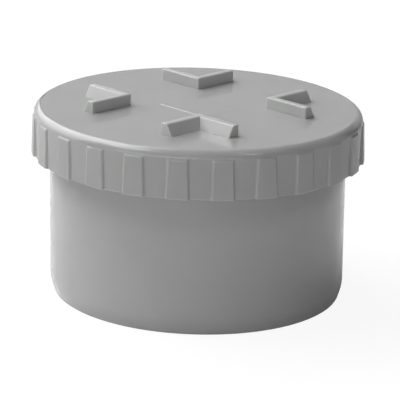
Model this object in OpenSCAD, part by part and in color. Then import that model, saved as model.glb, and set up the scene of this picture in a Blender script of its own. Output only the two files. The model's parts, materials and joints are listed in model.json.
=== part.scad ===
// Screwed access plug for a drain: a spigot body that is pushed into a pipe
// socket, a cap that screws onto its neck, and a flat sealing ring between them.
// Millimetres. The origin is the centre of the spigot's lower end, +Z is up,
// and the cap is drawn screwed home.

/* [Spigot] */
// Outside diameter of the spigot, the size of the drain pipe
spigot_d = 110; // [95:1:160]
// Thickness of the spigot's wall
spigot_wall = 3.2; // [2.4:0.1:4.5]
// Length of spigot that stays in view below the cap
spigot_l = 52.5; // [30:0.5:90]
// Height of the tapered lead-in at the lower end
lead_in_h = 4.5; // [2:0.5:12]
// Depth of the tapered lead-in
lead_in_depth = 1.4; // [0.5:0.1:2]

/* [Cap] */
// Height of the cap from the skirt's lower edge to the top face
cap_h = 17.5; // [16:0.5:26]
// Thickness of the top plate
plate_t = 3.2; // [2.4:0.1:4.2]
// Thickness of the skirt's wall outside the thread
skirt_wall = 3.2; // [2.4:0.1:4.5]
// Radius of the rounded shoulder
shoulder_r = 3; // [1:0.1:3.4]

/* [Grip ribs] */
// Number of ribs round the skirt
rib_n = 24; // [12:1:32]
// Width of a rib at the skirt's lower edge
rib_foot_w = 8.7; // [5:0.1:9]
// Width of a rib at its upper end
rib_head_w = 7.6; // [4:0.1:8.5]
// How far a rib stands out from the skirt at the lower edge
rib_foot_h = 1.1; // [0.5:0.1:1.5]
// How far a rib stands out at its upper end
rib_head_h = 0.7; // [0.5:0.1:1.5]
// Distance from the top face down to the ribs' upper ends
rib_drop = 2.8; // [2:0.1:6]

/* [Driving lugs] */
// Width of the two crossing channels that take the tool
channel_w = 35.2; // [24:0.2:40]
// Length of each arm of a lug
lug_arm = 19.5; // [10:0.5:20]
// Height of the lugs
lug_h = 4.2; // [2:0.1:8]
// Thickness of an arm at its top
lug_top_w = 2.8; // [2:0.1:4]
// Thickness of an arm at its foot
lug_foot_w = 5.2; // [4.2:0.1:7]

/* [Thread] */
// Rise of the thread in one turn
thread_pitch = 3.6; // [3.4:0.1:5]
// Height of a ridge above the thread's root
thread_depth = 1.4; // [1:0.1:1.6]
// Width of a ridge at its crest
crest_w = 0.9; // [0.5:0.1:1]
// Slope of a ridge's flanks
flank_angle = 30; // [20:1:32]
// Gap between a crest and the root that faces it
thread_gap = 0.4; // [0.3:0.05:0.6]
// How far a ridge takes to rise from nothing at each end
run_out_deg = 45; // [20:5:90]

/* [Sealing ring] */
// Thickness of the sealing ring
seal_t = 2.8; // [2:0.1:4]
// Gap between the sealing ring and the walls beside it
seal_gap = 0.4; // [0.2:0.05:0.8]
// Height of the keeper rib under the plate that holds the ring in place
keeper_h = 1.9; // [1:0.1:1.9]
// Thickness of the keeper rib
keeper_w = 1.5; // [1:0.1:3]

/* [Hidden] */

// Flats that draw one turn of the threads
thread_sides = 96;
// Material between a wall and the root of the thread that it carries
thread_bed = 0.8;
// How deep a thread's back is sunk into the wall that carries it
thread_sink = 1;
// Small step that a plain land stands in from the thread root beside it
land_step = 0.15;
// Height of the plain collar below the neck's thread
collar_h = 0.4;
// Height of the plain rim above the neck's thread
rim_h = 1;
// Height of the plain lip at the skirt's lower edge
lip_h = 0.7;
// Plain stretch left between a ridge's end and the land next to it
ridge_end_gap = 0.1;
// Overlap that makes one piece of two shapes
overlap = 0.2;
// Bevel on the moulded edges
edge_bevel = 0.4;
// Bevel on the edges of the ribs
rib_bevel = 0.3;
// Oversize of a shape that cuts another
cut = 1;

pvc_grey = "#a4a6a5";
rubber_black = "#26272a";

// Radii, from the bore outwards
spigot_r = spigot_d / 2;
bore_r = spigot_r - spigot_wall;
neck_root_r = spigot_r + thread_bed;
neck_crest_r = neck_root_r + thread_depth;
neck_land_r = neck_root_r + land_step;
cap_root_r = neck_crest_r + thread_gap;
cap_land_r = cap_root_r - land_step;
cap_bed_r = cap_root_r + thread_bed;
skirt_r = cap_root_r + skirt_wall;
rib_foot_r = skirt_r + rib_foot_h;
rib_head_r = skirt_r + rib_head_h;
keeper_r = bore_r - seal_gap;

// Heights, from the skirt's lower edge upwards
top_z = spigot_l + cap_h;
plate_z = top_z - plate_t;
rim_z = plate_z - seal_t;
rib_top_z = top_z - rib_drop;

// The neck widens at 45 degrees to a plain collar. Its thread stands between that
// collar and a plain rim.
neck_z = spigot_l + neck_land_r - spigot_r;
collar_z = neck_z + collar_h;
rim_land_z = rim_z - rim_h;
ridge_foot_w = crest_w + 2 * thread_depth * tan(flank_angle);
ridge_margin = ridge_foot_w / 2 + ridge_end_gap;
neck_first_z = collar_z + ridge_margin;
neck_turns = (rim_land_z - ridge_margin - neck_first_z) / thread_pitch;

// The cap's ridge runs half a pitch below the neck's, on the same helix
lip_z = spigot_l + lip_h;
seat_z = rim_land_z;
cap_helix_z = neck_first_z - thread_pitch / 2;
cap_first_turn = (lip_z + ridge_margin - cap_helix_z) / thread_pitch;
cap_last_turn = (seat_z - ridge_margin - cap_helix_z) / thread_pitch;

// How much of its full height a ridge has, turn being counted along the helix
function ridge_share(turn, first, last) =
    let (run_out = run_out_deg / 360)
    max(0, min(1, (turn - first) / run_out, (last - turn) / run_out));

// A threaded sleeve between z_lo and z_hi. Its face is a cylinder of root_r with one
// helical ridge on it, which passes helix_z at turn 0 and stands between the turns
// first and last. It stands outwards for side = 1 and inwards for side = -1, and the
// sleeve's back is a plain cylinder of back_r.
module thread_sleeve(root_r, back_r, side, z_lo, z_hi, helix_z, first, last) {
    // Corners of the ridge's section, as offsets along Z, and which of them are crests
    corner_z = [-ridge_foot_w / 2, -crest_w / 2, crest_w / 2, ridge_foot_w / 2];
    corner_out = [0, 1, 1, 0];
    below = ceil((helix_z + thread_pitch - z_lo) / thread_pitch) + 1;
    turns = below + ceil((z_hi - helix_z) / thread_pitch) + 2;
    levels = 4 * turns;

    function raw_z(side_i, level) =
        helix_z + thread_pitch * (side_i / thread_sides + floor(level / 4) - below) + corner_z[level % 4];
    // Levels past an end plane all fold onto that plane
    function kept(side_i, level) =
        raw_z(side_i, level) <= z_lo ? 0 : raw_z(side_i, level) >= z_hi ? levels - 1 : level;
    function face_point(side_i, level) =
        let (
            a = 360 * side_i / thread_sides,
            turn = side_i / thread_sides + floor(level / 4) - below,
            share = corner_out[level % 4] * ridge_share(turn, first, last),
            r = root_r + side * thread_depth * share
        )
        [r * cos(a), r * sin(a), max(z_lo, min(z_hi, raw_z(side_i, level)))];
    // After a full turn each level has become the one a pitch higher
    function face_at(side_i, level) =
        side_i < thread_sides
            ? side_i * levels + kept(side_i, level)
            : kept(0, min(level + 4, levels - 1));
    backs = thread_sides * levels;
    function back_at(side_i, end) = backs + 2 * (side_i % thread_sides) + end;
    function back_point(side_i, end) =
        let (a = 360 * side_i / thread_sides)
        [back_r * cos(a), back_r * sin(a), end == 0 ? z_lo : z_hi];

    points = concat(
        [for (i = [0 : thread_sides - 1]) for (level = [0 : levels - 1]) face_point(i, level)],
        [for (i = [0 : thread_sides - 1]) for (end = [0, 1]) back_point(i, end)]
    );
    triangles = [
        for (i = [0 : thread_sides - 1])
            each concat(
                [for (level = [0 : levels - 2])
                    each [
                        [face_at(i, level), face_at(i, level + 1), face_at(i + 1, level + 1)],
                        [face_at(i, level), face_at(i + 1, level + 1), face_at(i + 1, level)]
                    ]],
                [
                    [back_at(i, 0), back_at(i + 1, 0), back_at(i + 1, 1)],
                    [back_at(i, 0), back_at(i + 1, 1), back_at(i, 1)],
                    [face_at(i, 0), face_at(i + 1, 0), back_at(i + 1, 0)],
                    [face_at(i, 0), back_at(i + 1, 0), back_at(i, 0)],
                    [face_at(i, levels - 1), back_at(i, 1), back_at(i + 1, 1)],
                    [face_at(i, levels - 1), back_at(i + 1, 1), face_at(i + 1, levels - 1)]
                ]
            )
    ];
    whole = [for (t = triangles) if (t[0] != t[1] && t[1] != t[2] && t[2] != t[0]) t];
    polyhedron(points, side > 0 ? whole : [for (t = whole) [t[2], t[1], t[0]]]);
}

// The moulded body: plain spigot, tapered lead-in and threaded neck
module spigot_body() {
    color(pvc_grey)
    union() {
        rotate_extrude()
            polygon([
                [bore_r + edge_bevel, 0],
                [spigot_r - lead_in_depth, 0],
                [spigot_r, lead_in_h],
                [spigot_r, spigot_l],
                [neck_land_r, neck_z],
                [neck_land_r, collar_z],
                [spigot_r, collar_z],
                [spigot_r, rim_land_z],
                [neck_land_r, rim_land_z],
                [neck_land_r, rim_z - edge_bevel],
                [neck_land_r - edge_bevel, rim_z],
                [bore_r, rim_z],
                [bore_r, edge_bevel]
            ]);
        thread_sleeve(
            neck_root_r, spigot_r - thread_sink, 1,
            collar_z - overlap, rim_land_z + overlap,
            neck_first_z, 0, neck_turns
        );
    }
}

// The flat rubber ring between the neck's rim and the cap's plate
module sealing_ring() {
    r_in = keeper_r + seal_gap;
    r_out = cap_land_r - seal_gap;
    color(rubber_black)
    rotate_extrude()
        polygon([
            [r_in, rim_z + edge_bevel],
            [r_in + edge_bevel, rim_z],
            [r_out - edge_bevel, rim_z],
            [r_out, rim_z + edge_bevel],
            [r_out, plate_z - edge_bevel],
            [r_out - edge_bevel, plate_z],
            [r_in + edge_bevel, plate_z],
            [r_in, plate_z - edge_bevel]
        ]);
}

// One turned shell: plate, rounded shoulder, skirt and keeper rib
module cap_shell() {
    shoulder_z = top_z - shoulder_r;
    rotate_extrude()
        difference() {
            union() {
                polygon([
                    [0, spigot_l],
                    [skirt_r - edge_bevel, spigot_l],
                    [skirt_r, spigot_l + edge_bevel],
                    [skirt_r, shoulder_z],
                    [skirt_r - shoulder_r, shoulder_z],
                    [skirt_r - shoulder_r, top_z],
                    [0, top_z]
                ]);
                translate([skirt_r - shoulder_r, shoulder_z])
                    circle(r = shoulder_r, $fn = 64);
            }
            // Room inside the skirt, from its flared mouth up to the seal's seat
            polygon([
                [0, spigot_l - cut],
                [cap_land_r + edge_bevel + cut, spigot_l - cut],
                [cap_land_r, spigot_l + edge_bevel],
                [cap_land_r, lip_z],
                [cap_bed_r, lip_z],
                [cap_bed_r, seat_z],
                [cap_land_r, seat_z],
                [cap_land_r, plate_z],
                [keeper_r, plate_z],
                [keeper_r, plate_z - keeper_h],
                [keeper_r - keeper_w, plate_z - keeper_h],
                [keeper_r - keeper_w, plate_z],
                [0, plate_z]
            ]);
        }
}

// The band that the ribs are cut from. Its face leans in towards the upper end, and
// its outer edges are bevelled.
module rib_band() {
    back_r = skirt_r - edge_bevel - overlap;
    rotate_extrude()
        polygon([
            [back_r, spigot_l],
            [rib_foot_r - rib_bevel, spigot_l],
            [rib_foot_r, spigot_l + rib_bevel],
            [rib_head_r, rib_top_z - rib_bevel],
            [rib_head_r - rib_bevel, rib_top_z],
            [back_r, rib_top_z]
        ]);
}

// The wedge that one rib is kept in, with drafted sides, standing on the +X side
module rib_pad() {
    rib_l = rib_top_z - spigot_l;
    flare = (rib_foot_w - rib_head_w) / 2 * cut / rib_l;
    reach = max(rib_foot_r, rib_head_r) + cut;
    intersection() {
        // Seen from outside, the sides lean in towards the rib's upper end
        rotate([90, 0, 90])
            linear_extrude(reach)
                polygon([
                    [-rib_foot_w / 2 - flare, spigot_l - cut],
                    [rib_foot_w / 2 + flare, spigot_l - cut],
                    [rib_head_w / 2, rib_top_z],
                    [rib_head_w / 2, rib_top_z + cut],
                    [-rib_head_w / 2, rib_top_z + cut],
                    [-rib_head_w / 2, rib_top_z]
                ]);
        // Seen from above, they lean in towards its face
        translate([0, 0, spigot_l - cut])
            linear_extrude(cap_h + 2 * cut)
                polygon([
                    [0, -rib_foot_w / 2 - rib_bevel],
                    [skirt_r, -rib_foot_w / 2],
                    [rib_foot_r, -rib_foot_w / 2 + rib_bevel],
                    [reach, -rib_foot_w / 2 + rib_bevel],
                    [reach, rib_foot_w / 2 - rib_bevel],
                    [rib_foot_r, rib_foot_w / 2 - rib_bevel],
                    [skirt_r, rib_foot_w / 2],
                    [0, rib_foot_w / 2 + rib_bevel]
                ]);
    }
}

// The grip ribs: the band, kept only where a pad stands
module grip_ribs() {
    intersection() {
        rib_band();
        for (i = [0 : rib_n - 1])
            rotate([0, 0, (i + 0.5) * 360 / rib_n])
                rib_pad();
    }
}

// One driving lug in the quarter +X +Y: two arms at a right angle, with upright faces
// towards the channels and a sloping back. Its corner is at the origin.
module driving_lug() {
    slope = (lug_foot_w - lug_top_w) / lug_h;
    side = [
        [0, -overlap],
        [lug_arm, -overlap],
        [lug_arm, lug_h - edge_bevel],
        [lug_arm - edge_bevel, lug_h],
        [edge_bevel, lug_h],
        [0, lug_h - edge_bevel]
    ];
    // Everything past this line lies behind the arm
    back = [
        [lug_foot_w + slope * cut, -cut],
        [lug_top_w + slope * edge_bevel, lug_h - edge_bevel],
        [lug_top_w - edge_bevel, lug_h],
        [lug_top_w - edge_bevel, lug_h + cut],
        [lug_arm + cut, lug_h + cut],
        [lug_arm + cut, -cut]
    ];
    difference() {
        intersection() {
            rotate([90, 0, 0]) mirror([0, 0, 1]) linear_extrude(lug_arm) polygon(side);
            rotate([90, 0, 90]) linear_extrude(lug_arm) polygon(side);
        }
        intersection() {
            rotate([90, 0, 0]) mirror([0, 0, 1]) linear_extrude(lug_arm + cut) polygon(back);
            rotate([90, 0, 90]) linear_extrude(lug_arm + cut) polygon(back);
        }
    }
}

// The screw cap: shell, thread, grip ribs and driving lugs in one moulding
module screw_cap() {
    color(pvc_grey)
    union() {
        cap_shell();
        thread_sleeve(
            cap_root_r, cap_bed_r + thread_sink, -1,
            lip_z - overlap, seat_z + overlap,
            cap_helix_z, cap_first_turn, cap_last_turn
        );
        grip_ribs();
        for (quarter = [0 : 3])
            rotate([0, 0, 90 * quarter])
                translate([channel_w / 2, channel_w / 2, top_z])
                    driving_lug();
    }
}

spigot_body();
sealing_ring();
screw_cap();
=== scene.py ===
# %% [markdown]
# # A screwed access plug for a drain, dressed in Blender
#
# The object is a grey plastic plug. Its lower half is a spigot that is pushed into a
# pipe socket, and its upper half is a cap that screws onto the spigot's neck and
# squeezes a rubber ring. Three mouldings, three meshes.
#
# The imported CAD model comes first. It is the fixed frame: it says how big every piece
# is and which body carries it. Each mesh below replaces one CAD solid, with the same
# form and with edges as round as a steel mould leaves them.

# %% Load the frame
import json
import math

import bmesh
import bpy
from mathutils import Matrix, Vector

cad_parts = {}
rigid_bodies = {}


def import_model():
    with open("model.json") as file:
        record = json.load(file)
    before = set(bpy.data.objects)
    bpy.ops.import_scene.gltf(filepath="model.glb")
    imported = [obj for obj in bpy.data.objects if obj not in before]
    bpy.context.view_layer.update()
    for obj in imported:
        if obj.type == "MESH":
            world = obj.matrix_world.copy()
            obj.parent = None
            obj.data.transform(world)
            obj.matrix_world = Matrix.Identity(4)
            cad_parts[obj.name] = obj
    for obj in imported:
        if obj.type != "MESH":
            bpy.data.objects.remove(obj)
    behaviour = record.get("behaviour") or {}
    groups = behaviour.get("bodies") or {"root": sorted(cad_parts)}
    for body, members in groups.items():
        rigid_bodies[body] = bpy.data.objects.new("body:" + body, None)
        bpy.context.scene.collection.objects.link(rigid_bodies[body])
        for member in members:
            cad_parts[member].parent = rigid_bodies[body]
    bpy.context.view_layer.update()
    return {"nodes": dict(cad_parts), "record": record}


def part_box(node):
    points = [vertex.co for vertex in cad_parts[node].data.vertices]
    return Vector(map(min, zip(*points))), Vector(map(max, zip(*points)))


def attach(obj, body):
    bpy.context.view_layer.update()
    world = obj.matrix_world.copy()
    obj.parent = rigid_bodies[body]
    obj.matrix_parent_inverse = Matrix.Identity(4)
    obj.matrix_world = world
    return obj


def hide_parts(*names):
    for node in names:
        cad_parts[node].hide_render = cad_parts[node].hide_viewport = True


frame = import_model()
print("CAD solids:", sorted(frame["nodes"]))

# %% [markdown]
# The sizes are in millimetres, because a moulding is drawn in them, and one factor
# turns them to Blender's metres when a piece is finished. What the frame knows is read
# from it: the levels and radii at which the three pieces meet. Only sizes that the
# frame's boxes can't tell are written here.

# %% Sizes that the frame gives
MM = 0.001


def box_mm(node):
    """Lowest and highest corner of a CAD solid, in millimetres"""
    low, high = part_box(node)
    return low / MM, high / MM


mounts = {m["name"]: m for m in frame["record"]["mounts"]}
body_high = box_mm("spigot_body")[1]
ring_high = box_mm("sealing_ring")[1]
cap_low, cap_high = box_mm("screw_cap")

spigot_r = mounts["spigot"]["dims"]["r_mm"]
rim_z = body_high.z
seal_r = ring_high.x
plate_z = ring_high.z
skirt_z = cap_low.z
lug_top_z = cap_high.z
print(f"spigot radius {spigot_r:.1f}, rim at {rim_z:.1f}, plate underside at {plate_z:.1f}")
print(f"skirt from {skirt_z:.1f}, lug tops at {lug_top_z:.1f} mm")

# %% Sizes of the mouldings
spigot_wall = 3.2
lead_in_h = 4.5
lead_in_depth = 1.4

plate_t = 3.2
top_z = plate_z + plate_t
shoulder_r = 3.0
skirt_wall = 3.2

rib_n = 24
rib_foot_w = 8.7
rib_head_w = 7.6
rib_foot_h = 1.0
rib_head_h = 0.5
rib_drop = 2.8

channel_w = 35.2
lug_arm = 19.5
lug_top_w = 2.8
lug_foot_w = 5.2

thread_pitch = 3.6
thread_depth = 1.4
thread_bed = 0.8
thread_gap = 0.4
crest_w = 0.9
flank_angle = 30.0
run_out_deg = 45.0
land_step = 0.15
collar_h = 0.4
rim_h = 1.0
lip_h = 0.7
ridge_end_gap = 0.1

seal_gap = 0.4
keeper_h = 1.9
keeper_w = 1.5

# %% Sizes worked out from them
bore_r = spigot_r - spigot_wall
neck_root_r = spigot_r + thread_bed
neck_land_r = neck_root_r + land_step
neck_z = skirt_z + neck_land_r - spigot_r
collar_z = neck_z + collar_h
rim_land_z = rim_z - rim_h

cap_root_r = neck_root_r + thread_depth + thread_gap
cap_land_r = cap_root_r - land_step
skirt_r = cap_root_r + skirt_wall
keeper_r = bore_r - seal_gap
lip_z = skirt_z + lip_h
rib_top_z = top_z - rib_drop
lug_h = lug_top_z - top_z
channel_side = channel_w / 2

ridge_foot_w = crest_w + 2 * thread_depth * math.tan(math.radians(flank_angle))
ridge_margin = ridge_foot_w / 2 + ridge_end_gap
neck_helix_z = collar_z + ridge_margin
neck_last_turn = (rim_land_z - ridge_margin - neck_helix_z) / thread_pitch
cap_helix_z = neck_helix_z - thread_pitch / 2
cap_first_turn = (lip_z + ridge_margin - cap_helix_z) / thread_pitch
cap_last_turn = (rim_land_z - ridge_margin - cap_helix_z) / thread_pitch
print(f"top face at {top_z:.1f}, skirt radius {skirt_r:.1f} mm")
print(f"neck thread {neck_last_turn:.2f} turns, crests at radius {neck_root_r + thread_depth:.1f}")

# %% [markdown]
# The camera stands where the photographer stood, with a long lens 0.9 m away. In the
# photo the circles lean by a degree and a half while the uprights stay upright. No
# plain camera does both: someone straightened the picture by skewing it a little. The
# camera here is rolled like the circles and then skewed by the same small share, so
# its picture lines up with the photo. Blender keeps no skew in an object's own place,
# but it does in the matrix that ties an object to its parent, and so the camera hangs
# from an empty.

# %% Camera
camera_azimuth = 44.1
camera_elevation = 17.28
camera_roll = 1.7
camera_distance = 927.0
camera_target = Vector((0.74, 0.71, 33.8))
photo_skew = 0.014
sensor_w = 36.0
lens = 223.2
clip_near = 10.0
clip_far = 100000.0


def photo_camera():
    """The camera of the photo, rolled about its own line of sight"""
    azimuth, elevation, roll = (
        math.radians(a) for a in (camera_azimuth, camera_elevation, camera_roll)
    )
    back = Vector((
        math.sin(azimuth) * math.cos(elevation),
        -math.cos(azimuth) * math.cos(elevation),
        math.sin(elevation),
    ))
    level = Vector((math.cos(azimuth), math.sin(azimuth), 0))
    right = Matrix.Rotation(roll, 3, back) @ level
    up = back.cross(right)
    data = bpy.data.cameras.new("photo_camera")
    data.lens = lens
    data.sensor_width = sensor_w
    data.clip_start = clip_near * MM
    data.clip_end = clip_far * MM
    camera = bpy.data.objects.new("photo_camera", data)
    place = Matrix((right, up + photo_skew * right, back)).transposed().to_4x4()
    place.translation = (camera_target + back * camera_distance) * MM
    camera.parent = bpy.data.objects.new("camera_stand", None)
    camera.matrix_parent_inverse = place
    for thing in (camera.parent, camera):
        bpy.context.scene.collection.objects.link(thing)
    bpy.context.scene.camera = camera
    return camera


camera = photo_camera()
print("camera at", [round(c, 3) for c in camera.matrix_parent_inverse.translation])

# %% [markdown]
# Nearly every form here is turned: the spigot, the neck, the skirt and the sealing
# ring. A ring of edges that is extruded to a new radius and height, again and again,
# draws such a wall all round at once, and it keeps the mesh in even columns. Those
# columns are what the grip ribs are made from later. The first two helpers are that
# step and a row of such steps, and the third gives the points of a rounded shoulder.
# The others find a ring by its radius and height, extrude a patch of faces, and round
# edges with a bevel, as the polished mould does.
#
# A Python set of vertices or edges has another order in each run, and the mesh that is
# made from it then differs in its last digits. So what goes into an operator is always
# a list, and one short helper takes the repeats out of it and keeps its order.

# %% Turned walls
CLOSE = 0.002
EDGE_STEPS = 3
ROUND_STEPS = 4


def each_once(items):
    """The items as a list without repeats, in their first order"""
    return list(dict.fromkeys(items))


def extrude_ring(bm, ring, radius, height):
    """Extrudes a ring of edges and brings the new ring to a radius and a height"""
    made = bmesh.ops.extrude_edge_only(bm, edges=ring)["geom"]
    verts = [g for g in made if isinstance(g, bmesh.types.BMVert)]
    first = verts[0].co
    grow = radius / first.xy.length
    rise = height - first.z
    bmesh.ops.scale(bm, vec=(grow, grow, 1), verts=verts)
    bmesh.ops.translate(bm, vec=(0, 0, rise), verts=verts)
    new_verts = set(verts)
    edges = [g for g in made if isinstance(g, bmesh.types.BMEdge)]
    return [e for e in edges if all(v in new_verts for v in e.verts)]


def turn_wall(bm, ring, outline):
    """Carries a ring along an outline of (radius, height) points"""
    for radius, height in outline:
        ring = extrude_ring(bm, ring, radius, height)
    return ring


def arc(centre_r, centre_z, radius, start, end, steps):
    """Points (radius, height) on an arc that turns from one angle to another, in radians"""
    angles = [start + (end - start) * i / steps for i in range(steps + 1)]
    return [(centre_r + radius * math.cos(a), centre_z + radius * math.sin(a)) for a in angles]


def ring_at(bm, radius, height):
    """The edges that lie on one circle round the axis"""
    def on_it(v):
        return abs(v.co.z - height) < CLOSE and abs(v.co.xy.length - radius) < CLOSE
    return [e for e in bm.edges if all(on_it(v) for v in e.verts)]


def extrude_faces(bm, faces):
    """Extrudes a patch of faces, deletes the old ones and returns the new vertices.
    The edges go in too, because the operator judges by them whether a face is inside"""
    edges = each_once(e for f in faces for e in f.edges)
    made = bmesh.ops.extrude_face_region(bm, geom=faces + edges)["geom"]
    return [g for g in made if isinstance(g, bmesh.types.BMVert)]


def round_edges(bm, edges, radius, segments):
    """Rounds edges with a bevel of that radius"""
    bmesh.ops.bevel(
        bm, geom=edges, offset=radius, offset_type="OFFSET", affect="EDGES",
        segments=segments, profile=0.5, material=-1, clamp_overlap=False,
    )


# %% Finish a piece
SMOOTH_UNDER = math.radians(38)
FACE_AREA_WEIGHT = 100


def finish_piece(bm, name, body, node, material):
    """Makes an object from a bmesh in millimetres, and puts it in place of a CAD solid.
    Edges stay sharp where they turn far enough, or where they were marked before"""
    bmesh.ops.recalc_face_normals(bm, faces=bm.faces)
    bmesh.ops.scale(bm, vec=(MM, MM, MM), verts=bm.verts)
    open_edges = sum(not e.is_manifold for e in bm.edges)
    for f in bm.faces:
        f.smooth = True
    for e in bm.edges:
        e.smooth = e.smooth and e.calc_face_angle(0) < SMOOTH_UNDER
    mesh = bpy.data.meshes.new(name)
    bm.to_mesh(mesh)
    bm.free()
    mesh.materials.append(material)
    piece = bpy.data.objects.new(name, mesh)
    bpy.context.scene.collection.objects.link(piece)
    weigh = piece.modifiers.new("flat faces stay flat", "WEIGHTED_NORMAL")
    weigh.keep_sharp = True
    weigh.weight = FACE_AREA_WEIGHT
    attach(piece, body)
    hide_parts(node)
    print(f"{name}: {len(mesh.polygons)} faces, {open_edges} open edges")
    return piece


# %% [markdown]
# A screw thread is a section that turns and rises at the same time. Blender's spin does
# both when it is given a shift for each step. The section below is one pitch of wall
# with a ridge on it, spun for a few turns and merged where one turn meets the next.
#
# Two things make it look moulded and not cut off. The ridge starts from nothing and
# grows to its full height over an eighth of a turn, and the wall ends in level rings.
# The rings come from pushing every vertex past the end level back onto it. The section
# carries each vertex's offset along in a layer, so that a vertex of the finished helix
# still knows at which turn it stands. A long spin also gathers small errors, and so
# every vertex is set back onto its column.

# %% Threaded walls


def threaded_wall(bm, root_r, depth, low_z, high_z, helix_z, first, last, columns):
    """A wall of root_r with one helical ridge, outwards for a depth above 0.
    Returns its lowest and its highest ring of edges."""
    offset = bm.verts.layers.float.new("offset along the axis")
    crest = bm.verts.layers.int.new("on the crest")
    corners = [
        (-thread_pitch / 2, 0), (-ridge_foot_w / 2, 0), (-crest_w / 2, 1),
        (crest_w / 2, 1), (ridge_foot_w / 2, 0), (thread_pitch / 2, 0),
    ]
    start_turn = math.floor((low_z - helix_z) / thread_pitch) - 1
    end_turn = math.ceil((high_z - helix_z) / thread_pitch) + 1
    section = []
    for along, out in corners:
        height = helix_z + start_turn * thread_pitch + along
        v = bm.verts.new((root_r + out * depth, 0, height))
        v[offset] = along
        v[crest] = out
        section.append(v)
    edges = [bm.edges.new(pair) for pair in zip(section, section[1:])]
    turns = end_turn - start_turn
    bmesh.ops.spin(
        bm, geom=section + edges, cent=(0, 0, 0), axis=(0, 0, 1),
        dvec=(0, 0, thread_pitch / columns), angle=2 * math.pi * turns,
        steps=columns * turns, use_merge=False, use_duplicate=False,
    )
    run_out = run_out_deg / 360
    step = 2 * math.pi / columns
    for v in bm.verts:
        turn = (v.co.z - v[offset] - helix_z) / thread_pitch
        share = max(0, min(1, (turn - first) / run_out, (last - turn) / run_out))
        radius = root_r + v[crest] * share * depth
        angle = round(math.atan2(v.co.y, v.co.x) / step) * step
        height = min(max(v.co.z, low_z), high_z)
        v.co = (radius * math.cos(angle), radius * math.sin(angle), height)
    bmesh.ops.remove_doubles(bm, verts=bm.verts, dist=CLOSE / 2)
    bm.verts.layers.float.remove(bm.verts.layers.float["offset along the axis"])
    bm.verts.layers.int.remove(bm.verts.layers.int["on the crest"])
    ends = [e for e in bm.edges if e.is_boundary]
    middle = (low_z + high_z) / 2
    low_ring = [e for e in ends if e.verts[0].co.z < middle]
    high_ring = [e for e in ends if e.verts[0].co.z > middle]
    print(f"thread: {turns} turns spun, end rings of {len(low_ring)} and {len(high_ring)}")
    return low_ring, high_ring


# %% [markdown]
# The spigot body is one moulding. Its thread comes first, and the rest of the wall is
# carried on from the thread's two end rings: down the outside, round the tapered foot
# that leads it into a socket, up the bore and over the rim. Where the two ends meet,
# they are bridged, and the shell is closed.

# %% Spigot body
BODY_COLUMNS = 192
EDGE_R = 0.4
LEAD_IN_EDGE_R = 1.6


def moulded_body(material):
    """The spigot with its lead-in, bore, rim and threaded neck"""
    bm = bmesh.new()
    low_ring, high_ring = threaded_wall(
        bm, neck_root_r, thread_depth, collar_z, rim_land_z,
        neck_helix_z, 0, neck_last_turn, BODY_COLUMNS,
    )
    foot_r = spigot_r - lead_in_depth
    end = turn_wall(bm, low_ring, [
        (neck_land_r, collar_z),
        (neck_land_r, neck_z),
        (spigot_r, skirt_z),
        (spigot_r, lead_in_h),
        (foot_r, 0),
        (bore_r, 0),
        (bore_r, rim_z),
        (neck_land_r, rim_z),
        (neck_land_r, rim_land_z),
    ])
    bmesh.ops.bridge_loops(bm, edges=end + high_ring)
    round_edges(bm, ring_at(bm, spigot_r, lead_in_h), LEAD_IN_EDGE_R, ROUND_STEPS)
    sharp = [(foot_r, 0), (bore_r, 0), (bore_r, rim_z), (neck_land_r, rim_z)]
    for radius, height in sharp:
        round_edges(bm, ring_at(bm, radius, height), EDGE_R, EDGE_STEPS)
    return finish_piece(bm, "moulded_body", "plug_body", "spigot_body", material)


# %% [markdown]
# The sealing ring is cut or moulded from soft rubber, a rectangle in section with its
# corners worn round. Its section is one face with rounded corners. The face is deleted
# and its outline is spun all the way round, with the last step merged into the first.

# %% Sealing ring
RING_STEPS = 128


def rubber_ring(material):
    """The flat ring between the rim and the underside of the plate"""
    bm = bmesh.new()
    inner_r = bore_r
    corners = [
        (inner_r, rim_z), (seal_r, rim_z), (seal_r, plate_z), (inner_r, plate_z)
    ]
    section = bm.faces.new([bm.verts.new((x, 0, z)) for x, z in corners])
    bmesh.ops.bevel(
        bm, geom=list(section.verts), offset=EDGE_R, offset_type="OFFSET",
        affect="VERTICES", segments=ROUND_STEPS, profile=0.5, material=-1,
    )
    bmesh.ops.delete(bm, geom=list(bm.faces), context="FACES_ONLY")
    bmesh.ops.spin(
        bm, geom=list(bm.verts) + list(bm.edges), cent=(0, 0, 0), axis=(0, 0, 1),
        angle=2 * math.pi, steps=RING_STEPS, use_merge=True, use_duplicate=False,
    )
    return finish_piece(bm, "rubber_ring", "seal_carrier", "sealing_ring", material)


# %% [markdown]
# The cap is built the same way from its inner thread: outwards round the skirt and the
# shoulder to the top face, and inwards over the keeper rib to the plate's underside.
# It has twelve columns for each grip rib, six for the pad and six for the space beside
# it, so the pads are faces of the skirt that are already there.

# %% Cap shell
COLUMNS_PER_RIB = 12
CAP_COLUMNS = rib_n * COLUMNS_PER_RIB
SHOULDER_STEPS = 12
PLATE_RING_R = 50.0


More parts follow.
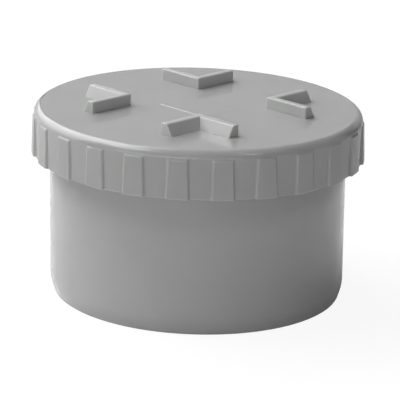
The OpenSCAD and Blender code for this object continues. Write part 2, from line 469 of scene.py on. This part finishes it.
def cap_shell(bm):
    """Skirt, shoulder, plate and keeper rib, carried on from the inner thread"""
    low_ring, high_ring = threaded_wall(
        bm, cap_root_r, -thread_depth, lip_z, rim_land_z,
        cap_helix_z, cap_first_turn, cap_last_turn, CAP_COLUMNS,
    )
    shoulder_z = top_z - shoulder_r
    at_ribs = math.asin((rib_top_z - shoulder_z) / shoulder_r)
    shoulder = arc(
        skirt_r - shoulder_r, shoulder_z, shoulder_r, at_ribs, math.pi / 2, SHOULDER_STEPS
    )
    outside = turn_wall(bm, low_ring, [
        (cap_land_r, lip_z),
        (cap_land_r, skirt_z),
        (skirt_r, skirt_z),
        *shoulder,
        (PLATE_RING_R, top_z),
    ])
    inside = turn_wall(bm, high_ring, [
        (cap_land_r, rim_land_z),
        (cap_land_r, plate_z),
        (keeper_r, plate_z),
        (keeper_r, plate_z - keeper_h),
        (keeper_r - keeper_w, plate_z - keeper_h),
        (keeper_r - keeper_w, plate_z),
    ])
    for ring in (outside, inside):
        bmesh.ops.edgeloop_fill(bm, edges=ring)
    round_edges(bm, ring_at(bm, cap_land_r, skirt_z), EDGE_R, EDGE_STEPS)
    for radius in (keeper_r, keeper_r - keeper_w):
        round_edges(bm, ring_at(bm, radius, plate_z - keeper_h), EDGE_R, EDGE_STEPS)


# %% [markdown]
# The grip ribs are low pads. Moulded pads are never square: each is narrower at its
# head than at its foot and smaller at its face than at its root, so that the mould
# comes off. The pad faces are extruded straight outwards, and every vertex is then
# turned about the axis towards the middle of its pad, which keeps it on its own
# cylinder. Last, the corners that stand out and the corners at the roots are rounded
# together with the skirt's lower edge, so that the roundings run into each other.

# %% Grip ribs
RIB_EDGE_R = 0.3
RIB_FACE_DRAFT = 0.5
PAD_COLUMNS = COLUMNS_PER_RIB / 2
ON_SKIRT = 0.02
STANDS_OUT = math.radians(30)


def rib_phase(co):
    """How far round a point lies from the middle of its pad, in columns"""
    columns = math.atan2(co.y, co.x) / (2 * math.pi) * CAP_COLUMNS
    return columns % COLUMNS_PER_RIB - COLUMNS_PER_RIB / 2


def along_rib(z, at_foot, at_head):
    """A size of the pads at a height, between its values at their two ends"""
    up = (z - skirt_z) / (rib_top_z - skirt_z)
    return at_foot + (at_head - at_foot) * up


def taper_pad(v, radius, width):
    """Puts a vertex on a cylinder, and turns it so that its pad gets that width"""
    plain_w = 2 * math.pi * radius * PAD_COLUMNS / CAP_COLUMNS
    turn = (width / plain_w - 1) * rib_phase(v.co) * 2 * math.pi / CAP_COLUMNS
    height = v.co.z
    v.co.z = 0
    v.co = Matrix.Rotation(turn, 3, "Z") @ (v.co.normalized() * radius)
    v.co.z = height


def stands_out(edge):
    """True for an edge where two faces meet in an outer corner"""
    return edge.calc_face_angle_signed(0) > STANDS_OUT


def turns_sharply(edge):
    """True for an edge where two faces meet in an outer or an inner corner"""
    return edge.calc_face_angle(0) > STANDS_OUT


def grip_ribs(bm):
    """Extrudes the pads from the skirt and rounds their edges"""
    def on_pad(f):
        co = f.calc_center_median()
        inside = abs(rib_phase(co)) < PAD_COLUMNS / 2 and skirt_z < co.z < rib_top_z
        return inside and all(v.co.xy.length > skirt_r - ON_SKIRT for v in f.verts)

    def below_shoulder(v):
        return v.co.xy.length > skirt_r - ON_SKIRT and v.co.z < rib_top_z + CLOSE

    pads = [f for f in bm.faces if on_pad(f)]
    roots = each_once(v for f in pads for v in f.verts)
    n_faces = len(pads)
    faces = extrude_faces(bm, pads)
    for v in roots:
        taper_pad(v, v.co.xy.length, along_rib(v.co.z, rib_foot_w, rib_head_w))
    for v in faces:
        width = along_rib(v.co.z, rib_foot_w, rib_head_w) - 2 * RIB_FACE_DRAFT
        taper_pad(v, skirt_r + along_rib(v.co.z, rib_foot_h, rib_head_h), width)
        if v.co.z > rib_top_z - CLOSE:
            v.co.z -= RIB_FACE_DRAFT
    bmesh.ops.recalc_face_normals(bm, faces=bm.faces)
    outer = [e for e in bm.edges if all(below_shoulder(v) for v in e.verts)]
    round_edges(bm, [e for e in outer if turns_sharply(e)], RIB_EDGE_R, EDGE_STEPS)
    print(f"{rib_n} pads from {n_faces} faces of the skirt")


# %% [markdown]
# Four lugs stand on the plate, each a V of two arms at a right angle. Their upright
# faces line two crossing channels for a flat bar, and the back of each arm slopes.
#
# A lug could be its own mesh pushed into the plate, but then the two surfaces would cut
# through each other. Here the plate is cut along the lugs' outlines instead, like
# scoring a sheet with a knife, and the cells inside an outline are extruded upwards.
# One rule with absolute values picks the cells of all four lugs at once.

# %% Driving lugs
LUG_EDGE_R = 0.4
ON_PLATE = 0.01
IN_FROM_RING = 1.0
FLAT_UNDER = math.radians(1)


def plate_faces(bm):
    """The faces of the plate's top inside its outer ring"""
    return [
        f for f in bm.faces
        if all(abs(v.co.z - top_z) < CLOSE for v in f.verts)
        and f.calc_center_median().xy.length < PLATE_RING_R - IN_FROM_RING
    ]


def score_plate(bm, distance):
    """Cuts the plate's top along the four lines that lie at that distance"""
    for axis in (Vector((1, 0, 0)), Vector((0, 1, 0))):
        for side in (-1, 1):
            faces = plate_faces(bm)
            edges = each_once(e for f in faces for e in f.edges)
            verts = each_once(v for f in faces for v in f.verts)
            bmesh.ops.bisect_plane(
                bm, geom=faces + edges + verts, dist=CLOSE / 10,
                plane_co=axis * side * distance, plane_no=axis,
            )


def on_lug(face):
    """True for a cell of the plate that lies under a lug"""
    centre = face.calc_center_median()
    near, far = sorted((abs(centre.x), abs(centre.y)))
    inside = channel_side < near and far < channel_side + lug_arm
    return inside and near < channel_side + lug_foot_w


def slope_back(co):
    """Brings the back of a lug's top from the foot's thickness to the top's"""
    for axis in (0, 1):
        if abs(abs(co[axis]) - channel_side - lug_foot_w) < ON_PLATE:
            co[axis] = math.copysign(channel_side + lug_top_w, co[axis])


def driving_lugs(bm):
    """Extrudes four lugs from the plate, rounds their edges, and gives every face that
    rises above the plate the second material"""
    for distance in (channel_side, channel_side + lug_foot_w, channel_side + lug_arm):
        score_plate(bm, distance)
    cells = [f for f in plate_faces(bm) if on_lug(f)]
    n_cells = len(cells)
    tops = extrude_faces(bm, cells)
    bmesh.ops.translate(bm, vec=(0, 0, lug_h), verts=tops)
    for v in tops:
        slope_back(v.co)
    lug_faces = each_once(f for v in tops for f in v.link_faces)
    around = each_once(e for f in lug_faces for e in f.edges)
    edges = [e for e in around if all(f in lug_faces for f in e.link_faces)]
    bmesh.ops.dissolve_limit(
        bm, angle_limit=FLAT_UNDER, edges=edges,
        verts=each_once(v for e in edges for v in e.verts),
    )
    bmesh.ops.recalc_face_normals(bm, faces=bm.faces)
    corners = [
        e for e in bm.edges
        if max(v.co.z for v in e.verts) > lug_top_z - CLOSE and stands_out(e)
    ]
    print(f"4 lugs from {n_cells} cells, {len(corners)} edges to round")
    round_edges(bm, corners, LUG_EDGE_R, EDGE_STEPS)
    for f in bm.faces:
        f.material_index = int(max(v.co.z for v in f.verts) > top_z + CLOSE)


# %% [markdown]
# In the middle of the top, the mould has a small rectangular insert. It never sits
# quite flush or quite level, so the field that it moulds stands a hair above the plate,
# more so on the left, and its edge shows as a fine line where the light catches it. The
# middle cell of the plate gives way to a face with rounded corners, and its outline is
# bridged to the hole's. An inset leaves room for the slope, and the field inside it is
# raised. The edges of the slope stay sharp, so that it doesn't shade the plate round it.

# %% Field of the mould's insert
insert_size = Vector((24.0, 18.0))
insert_corner_r = 1.5
insert_slope_w = 0.25
insert_h = 0.1
insert_tilt = 0.05


def insert_field(bm):
    """The slightly raised field that the mould's insert leaves on the middle of the top"""
    middle = min(plate_faces(bm), key=lambda f: f.calc_center_median().xy.length)
    hole = list(middle.edges)
    bmesh.ops.delete(bm, geom=[middle], context="FACES_ONLY")
    half = insert_size / 2
    signs = [(-1, -1), (1, -1), (1, 1), (-1, 1)]
    corners = [bm.verts.new((x * half.x, y * half.y, top_z)) for x, y in signs]
    bm.faces.new(corners)
    bmesh.ops.bevel(
        bm, geom=corners, offset=insert_corner_r, offset_type="OFFSET",
        affect="VERTICES", segments=ROUND_STEPS, profile=0.5, material=-1,
    )
    insert = min(plate_faces(bm), key=lambda f: f.calc_center_median().xy.length)
    bmesh.ops.bridge_loops(bm, edges=hole + list(insert.edges))
    outline = list(insert.edges)
    bmesh.ops.inset_individual(bm, faces=[insert], thickness=insert_slope_w)
    for v in insert.verts:
        v.co.z += insert_h - insert_tilt * v.co.x / half.x
    for e in outline + list(insert.edges):
        e.smooth = False
    print(f"raised field of {insert_size.x:.0f} x {insert_size.y:.0f} mm")


# %% The whole cap
def moulded_cap(materials):
    """The cap: shell and thread, pads, lugs and raised field in one mesh.
    The first material is the cap's, and the second is the lugs' own, with a paler grey that is
    painted fill light"""
    bm = bmesh.new()
    cap_shell(bm)
    grip_ribs(bm)
    driving_lugs(bm)
    insert_field(bm)
    cap = finish_piece(bm, "moulded_cap", "cap", "screw_cap", materials[0])
    for material in materials[1:]:
        cap.data.materials.append(material)
    return cap


# %% [markdown]
# Their grey is also painted a little paler than the rest of the cap, as painted fill light on
# their shaded sides.
# The plastic is PVC-U, unplasticised polyvinyl chloride, the common grey of drain
# fittings. It is moulded against polished steel, so it is smooth and half glossy, with
# a refractive index of 1.53. Pigment is mixed right through it, and only faint clouds
# of it show. Light goes a millimetre or two into the plastic before it comes back out,
# which softens the step from a lit face to an unlit one. A close look finds the orange
# peel of the mould's surface, about a millimetre from crest to crest, and long shallow
# ripples where the walls have shrunk. The lugs are more matt, with a finer and deeper
# grain, as plastic is where the mould's pockets are cut by sparks and not polished.
#
# All patterns read Object coordinates, which are metres here, so a size in millimetres
# turns into a texture scale by one division.

# %% Colours and nodes


def linear(hex_colour):
    """An sRGB hex colour as the linear values that a shader takes"""
    channels = [int(hex_colour[i:i + 2], 16) / 255 for i in (1, 3, 5)]
    curve = [c / 12.92 if c <= 0.04045 else ((c + 0.055) / 1.055) ** 2.4 for c in channels]
    return (*curve, 1)


def add_node(tree, kind, sockets=None, **settings):
    """Adds a node. Sockets take values or the outputs of other nodes"""
    node = tree.nodes.new(kind)
    for name, value in settings.items():
        setattr(node, name, value)
    for name, value in (sockets or {}).items():
        if isinstance(value, bpy.types.NodeSocket):
            tree.links.new(value, node.inputs[name])
        else:
            node.inputs[name].default_value = value
    return node


def empty_material(name):
    """A material with nothing in its tree but an output"""
    material = bpy.data.materials.new(name)
    material.use_nodes = True
    material.node_tree.nodes.clear()
    return material, material.node_tree


# %% Moulded PVC-U
pvc_ior = 1.53
cloud_size = 22.0
cloud_detail = 3.0
cloud_low, cloud_high = 0.3, 0.7
sheen_least, sheen_most = 0.9, 1.1
grain_detail = 2.0
ripple_size = 26.0
ripple_detail = 1.0
ripple_height = 0.03
light_depth = 1.5


def moulded_pvc(name, pale, dark, roughness, grain_size, grain_height):
    """Grey PVC-U as a mould leaves it, with the grain of that part of the mould"""
    material, tree = empty_material(name)
    place = add_node(tree, "ShaderNodeTexCoord").outputs["Object"]
    cloud = add_node(tree, "ShaderNodeTexNoise", {
        "Vector": place, "Scale": 1 / (cloud_size * MM), "Detail": cloud_detail,
    })
    tone = add_node(tree, "ShaderNodeMix", {
        "Factor": cloud.outputs["Fac"], "A": linear(dark), "B": linear(pale),
    }, data_type="RGBA")
    sheen_patches = add_node(tree, "ShaderNodeMapRange", {
        "Value": cloud.outputs["Fac"], "From Min": cloud_low, "From Max": cloud_high,
        "To Min": roughness * sheen_least, "To Max": roughness * sheen_most,
    })
    grain = add_node(tree, "ShaderNodeTexNoise", {
        "Vector": place, "Scale": 1 / (grain_size * MM), "Detail": grain_detail,
    })
    ripple = add_node(tree, "ShaderNodeTexNoise", {
        "Vector": place, "Scale": 1 / (ripple_size * MM), "Detail": ripple_detail,
    })
    long_bump = add_node(tree, "ShaderNodeBump", {
        "Height": ripple.outputs["Fac"], "Distance": ripple_height * MM,
    })
    fine_bump = add_node(tree, "ShaderNodeBump", {
        "Height": grain.outputs["Fac"], "Distance": grain_height * MM,
        "Normal": long_bump.outputs["Normal"],
    })
    skin = add_node(tree, "ShaderNodeBsdfPrincipled", {
        "Base Color": tone.outputs["Result"], "Roughness": sheen_patches.outputs["Result"],
        "Normal": fine_bump.outputs["Normal"], "IOR": pvc_ior,
        "Subsurface Weight": 1.0, "Subsurface Radius": (1.0, 1.0, 1.0),
        "Subsurface Scale": light_depth * MM,
    })
    add_node(tree, "ShaderNodeOutputMaterial", {"Surface": skin.outputs["BSDF"]})
    return material


polished_pvc = moulded_pvc(
    "moulded PVC-U, polished mould", pale="#afb0af", dark="#a7a8a7",
    roughness=0.08, grain_size=1.1, grain_height=0.0012,
)
# The lugs' grey is painted a little paler than the cap's. This is painted fill light that
# brightens their shaded sides, while their roughness and grain are their real spark-eroded finish.
eroded_pvc_painted_fill = moulded_pvc(
    "moulded PVC-U, spark-eroded pocket", pale="#bbbcbb", dark="#b3b4b3",
    roughness=0.35, grain_size=0.5, grain_height=0.04,
)

# %% [markdown]
# The sealing ring is black EPDM, a rubber filled with soot. It is nearly matt, with a
# faint bloom that makes it a little paler in patches.

# %% Black EPDM rubber
rubber_dark = "#1c1d1f"
rubber_bloom = "#2c2d30"
rubber_roughness = 0.7
rubber_ior = 1.5
bloom_size = 6.0
bloom_detail = 4.0
rubber_grain_size = 0.4
rubber_grain_detail = 2.0
rubber_grain_height = 0.01


def epdm_rubber():
    """Black rubber with a faint bloom"""
    material, tree = empty_material("moulded EPDM rubber")
    place = add_node(tree, "ShaderNodeTexCoord").outputs["Object"]
    bloom = add_node(tree, "ShaderNodeTexNoise", {
        "Vector": place, "Scale": 1 / (bloom_size * MM), "Detail": bloom_detail,
    })
    tone = add_node(tree, "ShaderNodeMix", {
        "Factor": bloom.outputs["Fac"], "A": linear(rubber_dark), "B": linear(rubber_bloom),
    }, data_type="RGBA")
    grain = add_node(tree, "ShaderNodeTexNoise", {
        "Vector": place, "Scale": 1 / (rubber_grain_size * MM), "Detail": rubber_grain_detail,
    })
    bump = add_node(tree, "ShaderNodeBump", {
        "Height": grain.outputs["Fac"], "Distance": rubber_grain_height * MM,
    })
    skin = add_node(tree, "ShaderNodeBsdfPrincipled", {
        "Base Color": tone.outputs["Result"], "Roughness": rubber_roughness,
        "Normal": bump.outputs["Normal"], "IOR": rubber_ior,
    })
    add_node(tree, "ShaderNodeOutputMaterial", {"Surface": skin.outputs["BSDF"]})
    return material


# %% Make the three pieces
moulded_body(polished_pvc)
rubber_ring(epdm_rubber())
moulded_cap([polished_pvc, eroded_pvc_painted_fill])

# %% [markdown]
# The two sides of the spigot mirror what lies behind it, and they tell that the object
# stood on a sheet of white paper. The mirrored white ends at the height of the skirt, so
# the sheet reached some 18 cm from the object's middle, and a darker table lay round it.
#
# The picture itself has a white ground that was cut clean. The floor therefore shows
# each kind of ray another tone. The camera sees plain white: most of it is a glow for
# camera rays alone, and the rest is real light, which keeps a soft shadow under the
# object. Reflections see the sheet of paper. All other rays meet one even grey, so that
# the paper doesn't light the spigot more than it did in the photo.

# %% Floor and surroundings
floor_half = 6000.0
floor_tone = "#cccccc"
paper_tone = "#f8f8f8"
paper_r = 185.0
paper_edge = 20.0
floor_seen_tone = "#656565"
floor_glow = 0.9


def pale_floor():
    """A wide floor that is white to the camera, with a sheet of paper in reflections"""
    bm = bmesh.new()
    bmesh.ops.create_grid(bm, x_segments=1, y_segments=1, size=floor_half * MM)
    mesh = bpy.data.meshes.new("floor")
    bm.to_mesh(mesh)
    bm.free()
    floor = bpy.data.objects.new("floor", mesh)
    bpy.context.scene.collection.objects.link(floor)
    material, tree = empty_material("matt white paper")
    place = add_node(tree, "ShaderNodeTexCoord").outputs["Object"]
    from_middle = add_node(tree, "ShaderNodeVectorMath", {0: place}, operation="LENGTH")
    path = add_node(tree, "ShaderNodeLightPath").outputs
    paper = add_node(tree, "ShaderNodeMapRange", {
        "Value": from_middle.outputs["Value"],
        "From Min": (paper_r - paper_edge) * MM, "From Max": paper_r * MM,
        "To Min": 1.0, "To Max": 0.0,
    })
    mirrored_paper = add_node(tree, "ShaderNodeMath", {
        0: path["Is Glossy Ray"], 1: paper.outputs["Result"],
    }, operation="MULTIPLY")
    real_tone = add_node(tree, "ShaderNodeMix", {
        "Factor": mirrored_paper.outputs["Value"],
        "A": linear(floor_tone), "B": linear(paper_tone),
    }, data_type="RGBA")
    tone = add_node(tree, "ShaderNodeMix", {
        "Factor": path["Is Camera Ray"],
        "A": real_tone.outputs["Result"], "B": linear(floor_seen_tone),
    }, data_type="RGBA")
    glow = add_node(tree, "ShaderNodeMath", {
        0: path["Is Camera Ray"], 1: floor_glow,
    }, operation="MULTIPLY")
    matt = add_node(tree, "ShaderNodeBsdfDiffuse", {"Color": tone.outputs["Result"]})
    shine = add_node(tree, "ShaderNodeEmission", {"Strength": glow.outputs["Value"]})
    both = add_node(tree, "ShaderNodeAddShader", {
        0: matt.outputs["BSDF"], 1: shine.outputs["Emission"],
    })
    add_node(tree, "ShaderNodeOutputMaterial", {"Surface": both.outputs["Shader"]})
    mesh.materials.append(material)


world_strength = 0.01


def white_room():
    """A world that is white to the camera and a dim even grey to the object"""
    world = bpy.data.worlds.new("room")
    world.use_nodes = True
    tree = world.node_tree
    tree.nodes.clear()
    camera_ray = add_node(tree, "ShaderNodeLightPath").outputs["Is Camera Ray"]
    level = add_node(tree, "ShaderNodeMapRange", {
        "Value": camera_ray, "To Min": world_strength, "To Max": 1.0,
    })
    air = add_node(tree, "ShaderNodeBackground", {"Strength": level.outputs["Result"]})
    add_node(tree, "ShaderNodeOutputWorld", {"Surface": air.outputs["Background"]})
    bpy.context.scene.world = world


pale_floor()
white_room()

# %% [markdown]
# The reflections in the photo tell where its light came from. The rounded shoulder
# mirrors a broad bright field behind the object on the left, which grows brighter
# upwards, as a window does that stands behind a thin curtain. Five screens one above the
# other make that field. The faces towards the camera get a weaker fill from the front,
# most of it from a little to the left, and the right side hardly any. A small lamp on
# the right draws the fine streak on the front of the shoulder.
#
# A screen's strength is given as its radiance: at 1, its mirror image in polished metal
# would be as white as paper.

# %% Soft lights
light_distance = 1500.0
soft_boxes = [
    # name, azimuth, elevation, width, height, radiance
    ("window sill", -128, 6, 2330, 260, 0.8),
    ("window low", -128, 18, 2230, 315, 1.95),
    ("window middle", -128, 30, 2030, 315, 2.75),
    ("window high", -128, 44, 1690, 420, 4.0),
    ("window top", -128, 60, 1170, 420, 4.85),
    ("behind the object", -172, 30, 320, 420, 1.75),
    ("left wall", -72, 58, 490, 750, 4.5),
    ("front left fill", -45, 10, 790, 475, 1.9),
    ("front fill", -15, 10, 790, 475, 2.8),
    ("front right fill", 15, 10, 790, 475, 1.35),
    ("ceiling in front", -20, 45, 1780, 1090, 0.31),
    ("right wall", 105, 20, 1030, 975, 0.4),
    ("back wall", 165, 11, 1370, 530, 0.45),
    ("small lamp", 47, 52, 290, 150, 9.5),
]


def soft_box(name, azimuth, elevation, width, height, radiance):
    """A rectangular light that faces the object. Azimuth is counted from the camera's"""
    turn = math.radians(camera_azimuth + azimuth)
    lift = math.radians(elevation)
    towards = Vector((
        math.sin(turn) * math.cos(lift), -math.cos(turn) * math.cos(lift), math.sin(lift)
    ))
    data = bpy.data.lights.new(name, "AREA")
    data.shape = "RECTANGLE"
    data.size = width * MM
    data.size_y = height * MM
    data.energy = radiance * math.pi * data.size * data.size_y
    lamp = bpy.data.objects.new(name, data)
    lamp.rotation_mode = "QUATERNION"
    lamp.rotation_quaternion = towards.to_track_quat("Z", "Y")
    lamp.location = (camera_target + towards * light_distance) * MM
    bpy.context.scene.collection.objects.link(lamp)


for box in soft_boxes:
    soft_box(*box)
bpy.context.scene.view_settings.view_transform = "Standard"
